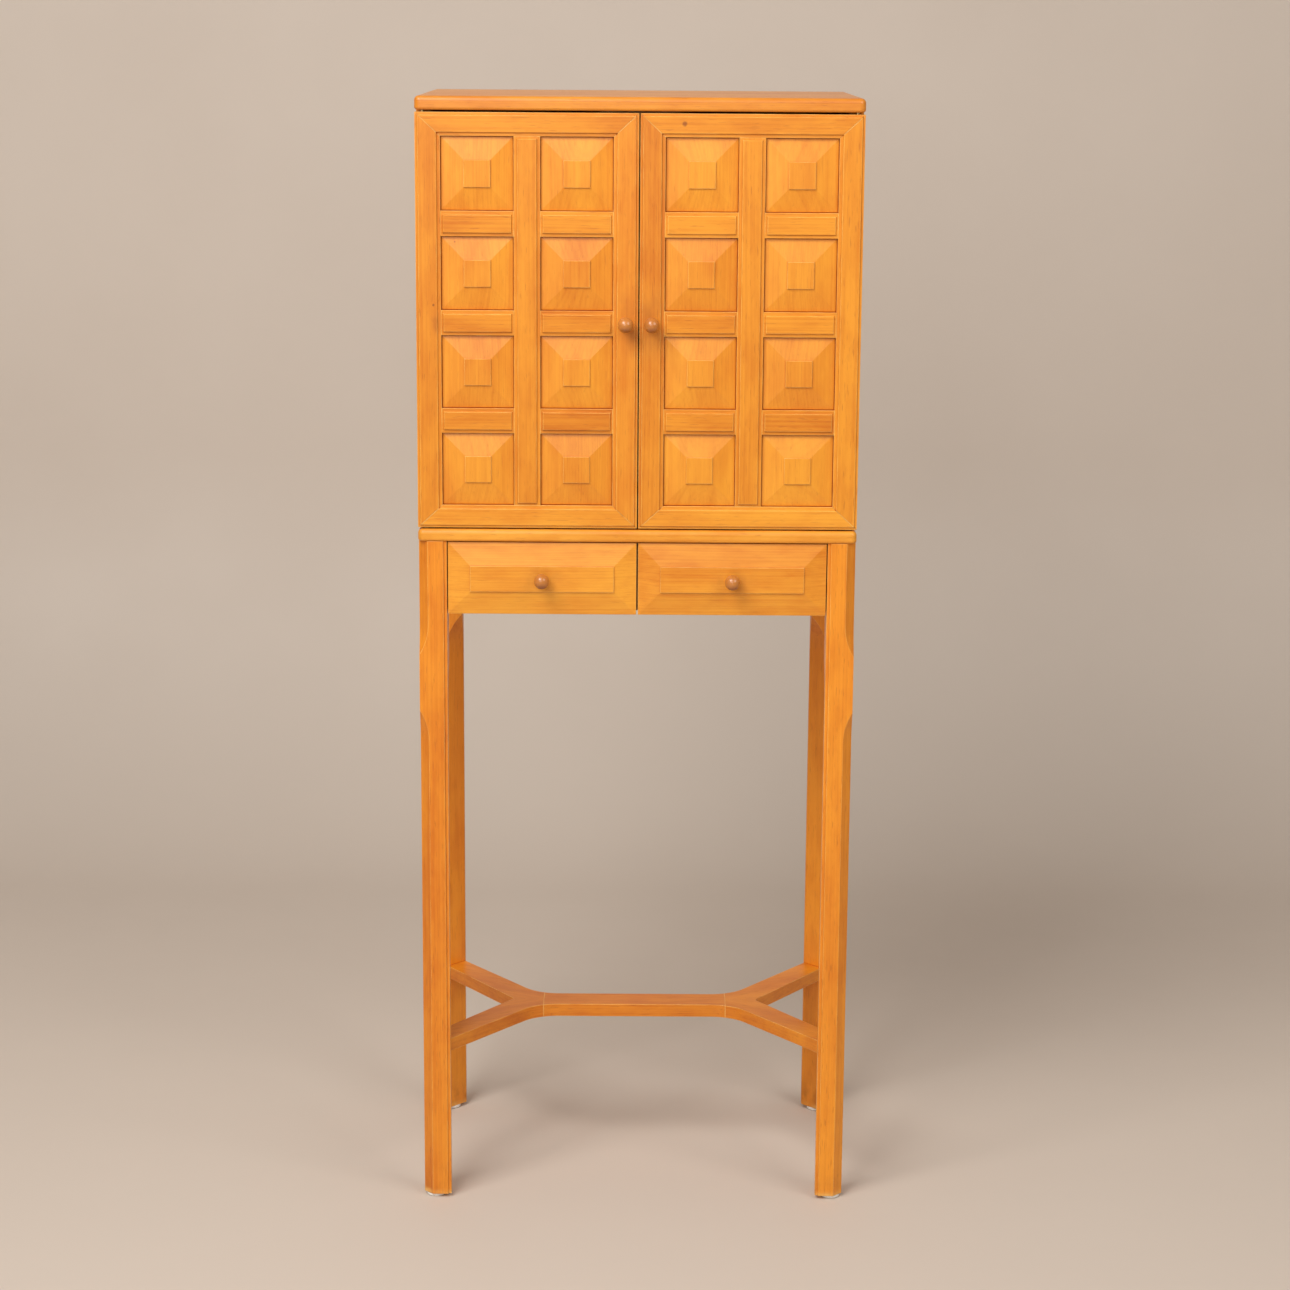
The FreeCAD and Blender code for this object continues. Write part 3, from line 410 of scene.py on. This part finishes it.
def metal(node, look):
    material, tree, shader, place = new_material(node + "_metal")
    surface = use(tree, scratched_metal,
                  {"Place": place, "Bright": look["bright"], "Dull": look["dull"]})
    arris = use(tree, arris_wear_and_highlight, {"Place": place, "Reach": metal_arris})
    rough = reckon(tree, "MULTIPLY_ADD", surface["Scratch"], scratch_share,
                   reckon(tree, "MULTIPLY", surface["Tarnish"], tarnish_share))
    relief = step(tree, "Bump", {"Strength": scratch_relief, "Distance": scratch_depth,
                                 "Height": surface["Scratch"], "Normal": arris["Normal"]})
    feed(tree, shader, {
        "Base Color": tinted(tree, arris["Pale Edge"], surface["Colour"], look["bright"]),
        "Roughness": between(tree, rough, 0.0, 1.0, *look["gloss"]),
        "Normal": relief.outputs[0],
        "Metallic": 1.0})
    finish_node(node, material)


metal("shelf_pins", brass)


# ---- Stop block, catch magnets and fixed hinge leaves ----------------------------------------
# A planed block under the top board stops both doors and holds two round steel-cased magnets.
# The four fixed leaves of the pivot hinges are brass, let into the boards.

steel = {"bright": (0.68, 0.68, 0.69, 1), "dull": (0.42, 0.41, 0.40, 1), "gloss": (0.18, 0.42)}
wooden("door_stop", "x", sealed_wood)
metal("catch_magnets", steel)
metal("fixed_hinge_leaves", brass)


# ---- Door frames -----------------------------------------------------------------------------
# Each door has two upright stiles and two rails, joined by keyed mitres. A small pin knot shows
# in the right door's top rail and a reddish stain on the left door's outer stile, and the meeting
# stiles are a little darker round the knobs.

door_face = -0.1514
knob_height, knob_from_middle = 1.0866, 0.0155
hand_reach = (0.030, 0.030, 0.055)
stile_stain = ((-0.2371, door_face, 1.0876), (0.008, 0.010, 0.022), 0.35, "grime_and_shade")
stile_knot = ((-0.2392, door_face, 1.1072), 0.0014)
top_rail_knot = ((0.0516, door_face, 1.3170), 0.0028)
mitre_glue = (0.30, 0.07, 0.006, 1)
pale_frame = dict(varnish, pale=(0.81, 0.335, 0.026, 1), deep=(0.64, 0.188, 0.008, 1))
frame_marks = {
    "left": {"outer_stains": [stile_stain], "outer_knots": [stile_knot], "top_knots": [],
             "inner_wood": pale_frame, "inner_grime": 0.2, "inner_end": "right"},
    "right": {"outer_stains": [], "outer_knots": [], "top_knots": [top_rail_knot],
              "inner_wood": varnish, "inner_grime": 0.3, "inner_end": "left"},
}
for side, way in (("left", -1), ("right", 1)):
    marks = frame_marks[side]
    outer_low, outer_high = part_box(side + "_door_outer_stile")
    rail_low, rail_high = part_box(side + "_door_bottom_rail")
    stile_wide, rail_wide = outer_high.x - outer_low.x, rail_high.z - rail_low.z
    mitres = {}
    for end, x, inwards in (("left", rail_low.x, 1), ("right", rail_high.x, -1)):
        for level, z, upwards in (("low", outer_low.z, 1), ("high", outer_high.z, -1)):
            across_mitre = Vector((-upwards * rail_wide, 0.0, inwards * stile_wide)).normalized()
            mitres[end, level] = ((x, 0.0, z), across_mitre, mitre_glue)
    knob_middle = (way * knob_from_middle, door_face, knob_height)
    inner_end = marks["inner_end"]
    wooden(side + "_door_outer_stile", "z", tinted_patches=marks["outer_stains"],
           knots=marks["outer_knots"], joints=[mitres[side, "low"], mitres[side, "high"]])
    wooden(side + "_door_inner_stile", "z", marks["inner_wood"],
           tinted_patches=[(knob_middle, hand_reach, marks["inner_grime"], "grime_and_shade")],
           joints=[mitres[inner_end, "low"], mitres[inner_end, "high"]])
    wooden(side + "_door_top_rail", "x", knots=marks["top_knots"],
           joints=[mitres["left", "high"], mitres["right", "high"]])
    wooden(side + "_door_bottom_rail", "x", pale_frame,
           joints=[mitres["left", "low"], mitres["right", "low"]])


# ---- Muntins and cross rails -----------------------------------------------------------------
# An upright muntin divides each door, and six short rails butt against it and the stiles. Their
# faces are planed with bevelled ends, and each rail comes from another offcut.

panel_columns, panel_rows = 2, 4
muntin_specks = {"left": [((-0.1281, -0.1500, 1.2400), 0.0011),
                          ((-0.1282, -0.1500, 1.2064), 0.0009)], "right": []}
for side in ("left", "right"):
    wooden(side + "_door_muntin", "z", knots=muntin_specks[side])
    rail_low, rail_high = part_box(side + "_door_cross_rails")
    panel_low, panel_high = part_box(side + "_door_panels")
    column = (rail_high.x - rail_low.x) / panel_columns
    row = (panel_high.z - panel_low.z) / panel_rows
    wooden(side + "_door_cross_rails", "x", spacing=(column, 1.0, row),
           corner=(rail_low.x, -0.5, panel_low.z + row / 2))


# ---- Fielded panels --------------------------------------------------------------------------
# Eight small solid panels a door, each planed to four slopes round a square field that stands a
# little proud. They are held loose in the grooves, with their grain upright.

panel_wood = dict(varnish, pale=(0.80, 0.330, 0.024, 1), deep=(0.62, 0.180, 0.008, 1),
                  contrast=1.05, ring_width=0.002, pore_amount=0.2, arris=0.0009,
                  arris_share=1.0, shade_reach=0.0013)
panel_specks = {"left": [((-0.1752, -0.1460, 1.2291), 0.0010),
                         ((-0.2141, -0.1460, 1.1801), 0.0010)], "right": []}
for side in ("left", "right"):
    panel_low, panel_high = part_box(side + "_door_panels")
    column = (panel_high.x - panel_low.x) / panel_columns
    row = (panel_high.z - panel_low.z) / panel_rows
    wooden(side + "_door_panels", "z", panel_wood, spacing=(column, 1.0, row),
           corner=(panel_low.x, -0.5, panel_low.z), knots=panel_specks[side])


# ---- Door fittings and knobs -----------------------------------------------------------------
# Brass leaves with their pins, and a steel disc for the magnet, on the doors' top and bottom
# edges. The knobs are turned from a pinkish brown wood and polished, glued in by a spigot.

knob_wood = dict(varnish, pale=(0.60, 0.235, 0.042, 1), deep=(0.38, 0.105, 0.015, 1),
                 pores=(0.18, 0.05, 0.015, 1), wear_and_highlight=(0.62, 0.30, 0.12, 1),
                 ring_width=0.0016, curl=0.004, contrast=0.5, arris=0.0004,
                 roughness=(0.30, 0.42), coat=0.7, coat_roughness=0.20)
# Painted shade under each knob: how far it reaches and how strong it is.
knob_shade_reach, knob_shade_share = (0.013, 0.030, 0.009), 0.9


def turned_knob(node):
    """A knob, with painted shade darkening its underside."""
    low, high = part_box(node)
    shaded_underside = ((low.x + high.x) / 2, low.y, low.z)
    wooden(node, "y", knob_wood, tinted_patches=[(shaded_underside, knob_shade_reach, knob_shade_share, "grime_and_shade")])


for side in ("left", "right"):
    metal(side + "_door_fittings", brass)
    turned_knob(side + "_door_knob")


# ---- Legs ------------------------------------------------------------------------------------
# Four square legs of straight-grained wood with stopped chamfers on their outer corners. Their
# feet are a shade darker, the rear ones most, and chipped pale along the bottom edge. The left
# rear leg has two pin knots.

leg_wood = dict(varnish, pale=(0.85, 0.305, 0.018, 1), deep=(0.63, 0.160, 0.004, 1))
foot_reach, chipped_reach, chipped_share = (0.060, 0.060, 0.055), (0.040, 0.040, 0.009), 1.0
for side in ("left", "right"):
    for end, foot_darkening in (("front", 0.3), ("rear", 0.7)):
        leg = side + "_" + end + "_leg"
        leg_low, leg_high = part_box(leg)
        middle_x, middle_y = (leg_low.x + leg_high.x) / 2, (leg_low.y + leg_high.y) / 2
        leg_knots = []
        if leg == "left_rear_leg":
            leg_knots = [((-0.2377, leg_low.y, 0.5368), 0.0024),
                         ((-0.2405, leg_low.y, 0.4955), 0.0020)]
        wooden(leg, "z", leg_wood, knots=leg_knots,
               tinted_patches=[((middle_x, middle_y, 0.0), foot_reach, foot_darkening, "grime_and_shade"),
                       ((middle_x, middle_y, leg_low.z), chipped_reach, chipped_share, "wear_and_highlight")])


# ---- Aprons, rails, runners and kickers ------------------------------------------------------
# The side and rear aprons are tenoned into the legs and varnished as they are. The rails, divider,
# runners and kickers that carry the drawers are of the same wood left sealed only, and four
# screws go up through the kickers into the base board.

for side in ("left", "right"):
    wooden(side + "_side_apron", "y")
    wooden(side + "_side_runner", "y", sealed_wood)
wooden("rear_apron", "x")
wooden("lower_front_rail", "x", sealed_wood)
wooden("upper_front_rail", "x", sealed_wood)
wooden("drawer_divider", "y", sealed_wood)
wooden("centre_runner", "y", sealed_wood)
kicker_count = 3
kicker_low, kicker_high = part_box("drawer_kickers")
wooden("drawer_kickers", "y", sealed_wood,
       spacing=((kicker_high.x - kicker_low.x) / kicker_count, 1.0, 1.0),
       corner=(kicker_low.x, -0.5, 0.5))
metal("stand_screws", steel)


# ---- Stretcher -------------------------------------------------------------------------------
# A bar dowelled between two forks, whose arms meet the four legs. Each fork is glued up from two
# mirrored halves, so the grain follows each arm. The joint with the bar shows as a fine line.

arm_angle = math.radians(25.7)
arm_root = 0.124
fork_middle_y = 0.01285


def towards_leg(way):
    """The fork's halves are mirror images, and each is turned so that its arm lies along X."""
    def turn(tree, place):
        centred = shift(tree, "SUBTRACT", place, (way * arm_root, fork_middle_y, 0.0))
        half = shift(tree, "MULTIPLY", centred, (float(way), 1.0, 1.0))
        parts = step(tree, "SeparateXYZ", {0: half}).outputs
        folded_y = reckon(tree, "ABSOLUTE", parts["Y"])
        folded = step(tree, "CombineXYZ", {"X": parts["X"], "Y": folded_y, "Z": parts["Z"]})
        return step(tree, "VectorRotate", {"Vector": folded.outputs[0], "Angle": -arm_angle},
                    rotation_type="Z_AXIS").outputs[0]
    return turn


stretcher_wood = dict(varnish, pale=(0.79, 0.285, 0.016, 1), deep=(0.57, 0.142, 0.004, 1))
dry_glue = (0.76, 0.36, 0.09, 1)
whole_fork, fork_corner = (2.0, 2.0, 2.0), (-1.0, -1.0, -1.0)
bar_low, bar_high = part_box("stretcher_bar")
bar_ends = {-1: ((bar_low.x, 0.0, 0.0), (1.0, 0.0, 0.0), dry_glue),
            1: ((bar_high.x, 0.0, 0.0), (1.0, 0.0, 0.0), dry_glue)}
wooden("stretcher_bar", "x", stretcher_wood, joints=bar_ends.values())
for side, way in (("left", -1), ("right", 1)):
    wooden(side + "_stretcher_fork", "x", stretcher_wood, turn=towards_leg(way),
           spacing=whole_fork, corner=fork_corner, joints=[bar_ends[way]])
wooden("stretcher_dowels", "x", sealed_wood)


# ---- Drawers ---------------------------------------------------------------------------------
# The fronts are solid with four slopes round a long field, their grain across. The sides and backs
# are thinner boards, sealed, and the bottoms are thin veneered boards slid into grooves. Fingers
# have darkened the field round each knob.

drawer_wood = dict(varnish, pale=(0.82, 0.345, 0.030, 1), deep=(0.63, 0.185, 0.008, 1),
                   ring_width=0.002, pore_amount=0.15)
drawer_knob_x, drawer_knob_z, drawer_face = 0.1129, 0.7836, -0.1545
finger_reach, finger_share = (0.034, 0.030, 0.022), 0.3
side_spacing = 0.1
for side, way in (("left", -1), ("right", 1)):
    held_at = (way * drawer_knob_x, drawer_face, drawer_knob_z)
    wooden(side + "_drawer_front", "x", drawer_wood,
           tinted_patches=[(held_at, finger_reach, finger_share, "grime_and_shade")])
    wooden(side + "_drawer_sides", "y", sealed_wood, spacing=(side_spacing, 1.0, 1.0),
           corner=(way * drawer_knob_x - side_spacing, -0.5, 0.5))
    wooden(side + "_drawer_back", "x", sealed_wood)
    wooden(side + "_drawer_bottom", "x", back_veneer)
    turned_knob(side + "_drawer_knob")


# ---- Glides ----------------------------------------------------------------------------------
# White moulded plastic discs, each nailed under a foot. Their edges have picked up floor dirt and
# fine scuffs.

white_plastic, floor_dirt = (0.90, 0.88, 0.83, 1), (0.36, 0.31, 0.25, 1)
dirt_height, scuff_dirt = 0.0022, 0.35
scuff_stretch, scuff_band = (900.0, 900.0, 900.0), (0.42, 0.7)
new_gloss, scuffed_gloss = 0.38, 0.62
scuff_relief, scuff_depth = 0.5, 0.00004
glide, glide_tree, glide_shader, glide_place = new_material("glide_plastic")
above_floor = step(glide_tree, "SeparateXYZ", {0: glide_place}).outputs["Z"]
near_floor = between(glide_tree, above_floor, dirt_height, 0.0)
scuffs = patches(glide_tree, glide_place, scuff_stretch, scuff_band, cloudy)
dirt = reckon(glide_tree, "MAXIMUM", reckon(glide_tree, "MULTIPLY", near_floor, scuffs),
              reckon(glide_tree, "MULTIPLY", scuffs, scuff_dirt))
glide_relief = step(glide_tree, "Bump", {"Strength": scuff_relief, "Distance": scuff_depth,
                                         "Height": scuffs})
feed(glide_tree, glide_shader, {
    "Base Color": tinted(glide_tree, dirt, white_plastic, floor_dirt),
    "Roughness": between(glide_tree, scuffs, 0.0, 1.0, new_gloss, scuffed_gloss),
    "Normal": glide_relief.outputs[0]})
finish_node("leg_glides", glide)


# ---- Floor and wall --------------------------------------------------------------------------
# A painted studio cove, warm grey: a floor that bends up into a plain wall behind the cabinet. It
# hides nothing from behind or below.

cove_start, cove_radius, cove_steps = 1.15, 0.65, 16
half_width, floor_front, wall_top = 7.0, -6.5, 5.5
cove_line = [(floor_front, 0.0)]
for n in range(cove_steps + 1):
    bend = math.pi / 2 * n / cove_steps
    cove_line.append((cove_start + cove_radius * math.sin(bend),
                      cove_radius * (1 - math.cos(bend))))
cove_line.append((cove_start + cove_radius, wall_top))
cove_corners = [(x, y, z) for y, z in cove_line for x in (-half_width, half_width)]
strips = [(2 * n, 2 * n + 1, 2 * n + 3, 2 * n + 2) for n in range(len(cove_line) - 1)]
cove_mesh = bpy.data.meshes.new("studio_cove")
cove_mesh.from_pydata(cove_corners, [], strips)
for strip in cove_mesh.polygons:
    strip.use_smooth = True
cove = bpy.data.objects.new("studio_cove", cove_mesh)
bpy.context.scene.collection.objects.link(cove)

light_paint, dark_paint = (0.640, 0.555, 0.480, 1), (0.610, 0.525, 0.452, 1)
roller_stretch, roller_band = (3.0, 3.0, 3.0), (0.2, 0.8)
paint_gloss = (0.55, 0.7)
paint, paint_tree, paint_shader, paint_place = new_material("cove_paint")
rolled = speckle(paint_tree, paint_place, roller_stretch, rolled_on)
from_behind = paint_tree.nodes.new("ShaderNodeNewGeometry").outputs["Backfacing"]
feed(paint_tree, paint_shader, {
    "Base Color": tinted(paint_tree, rolled, light_paint, dark_paint),
    "Roughness": between(paint_tree, rolled, *roller_band, *paint_gloss),
    "Alpha": reckon(paint_tree, "SUBTRACT", 1.0, from_behind)})
cove_mesh.materials.append(paint)


# ---- Light -----------------------------------------------------------------------------------
# Soft boxes high on the left and, weaker, on the right, a wide pale one in front that the sloping
# faces mirror as a sheen, and soft light from the room.

cabinet_middle = Vector((0.0, 0.0, 0.9))
cool_white, warm_white = (1.0, 0.98, 0.95), (1.0, 0.97, 0.93)


def soft_box(name, place, wide, tall, power, colour):
    lamp = bpy.data.lights.new(name, "AREA")
    lamp.shape = "RECTANGLE"
    lamp.size, lamp.size_y = wide, tall
    lamp.energy = power
    lamp.color = colour
    stand = bpy.data.objects.new(name, lamp)
    stand.location = place
    towards = cabinet_middle - Vector(place)
    stand.rotation_euler = towards.to_track_quat("-Z", "Y").to_euler()
    bpy.context.scene.collection.objects.link(stand)


soft_box("left_soft_box", place=(-1.3, -2.0, 3.15), wide=1.7, tall=1.7, power=87.0,
         colour=cool_white)
soft_box("right_soft_box", place=(1.7, -1.9, 2.5), wide=1.5, tall=1.5, power=27.0,
         colour=warm_white)
soft_box("front_soft_box", place=(-1.0, -4.1, 2.2), wide=2.6, tall=1.7, power=46.0,
         colour=cool_white)

room_strength = 0.27
room = bpy.data.worlds.new("room")
room.use_nodes = True
room_light = room.node_tree.nodes["Background"]
room_light.inputs["Color"].default_value = (*warm_white, 1)
room_light.inputs["Strength"].default_value = room_strength
bpy.context.scene.world = room
bpy.context.scene.view_settings.view_transform = "Standard"


# ---- Camera ----------------------------------------------------------------------------------
# A long lens at the height of the cabinet's top, looking a little down, as in the photograph.

lens, sensor = 81.39, 36.0
eye = Vector((0.0, -3.55505, 1.4313))
look_down, look_right, tilt = math.radians(12.06), math.radians(0.167), math.radians(0.40)
ahead = Vector((math.sin(look_right) * math.cos(look_down),
                math.cos(look_right) * math.cos(look_down), -math.sin(look_down)))
level = Vector((math.cos(look_right), -math.sin(look_right), 0.0))
upright = level.cross(ahead)
right_edge = math.cos(tilt) * level + math.sin(tilt) * upright
upper_edge = math.cos(tilt) * upright - math.sin(tilt) * level
camera_data = bpy.data.cameras.new("photo_camera")
camera_data.lens = lens
camera_data.sensor_width = sensor
camera = bpy.data.objects.new("photo_camera", camera_data)
bpy.context.scene.collection.objects.link(camera)
turn_matrix = Matrix((right_edge, upper_edge, -ahead)).transposed().to_4x4()
camera.matrix_world = Matrix.Translation(eye) @ turn_matrix
bpy.context.scene.camera = camera
